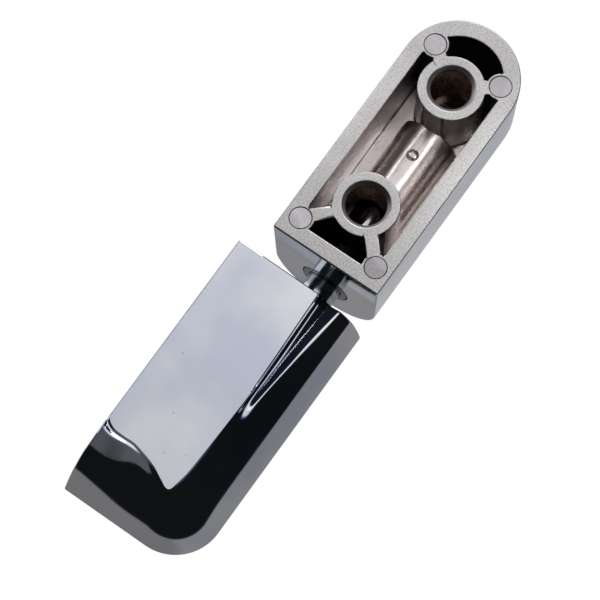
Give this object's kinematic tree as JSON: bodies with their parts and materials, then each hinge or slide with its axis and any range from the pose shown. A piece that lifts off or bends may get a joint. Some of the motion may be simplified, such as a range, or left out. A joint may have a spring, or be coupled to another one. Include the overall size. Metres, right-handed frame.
{
  "type": "pivoting window handle",
  "caption": "Chrome-plated die-cast window handle: a rounded base that screws on from behind and a flat rimmed lever that turns about a steel pin along the base's long axis.",
  "frame": {"origin": "on the base's flat mounting face, on its centreline, in the middle of the rim's straight end bar at the base's flat end", "axes": "+Z along the pin's axis from the lever towards the base's round end, +Y out of the mounting face towards the frame it is screwed to, X across the handle with the lever's wide side at +X"},
  "size_m": [0.0247, 0.0215, 0.0984],
  "materials": {
    "chrome_plate": "bright chrome plate on die-cast zinc, satin on the mounting face",
    "bright_steel": "ground and plated",
    "bush_metal": "plain, lightly oiled",
    "spring_steel": "dark, as hardened"
  },
  "bodies": {
    "base": {"base_casting": "chrome_plate", "lower_bush": "bush_metal", "upper_bush": "bush_metal", "locking_dowel": "spring_steel"},
    "lever": {"lever_casting": "chrome_plate", "pivot_pin": "bright_steel", "lever_roll_pin": "spring_steel"}
  },
  "joints": [
    {"name": "lever_turn", "type": "hinge", "parent": "base", "child": "lever", "pos_m": [0, -0.0123, 0], "axis": [0, 0, -1], "range_deg": [0, 183]}
  ]
}
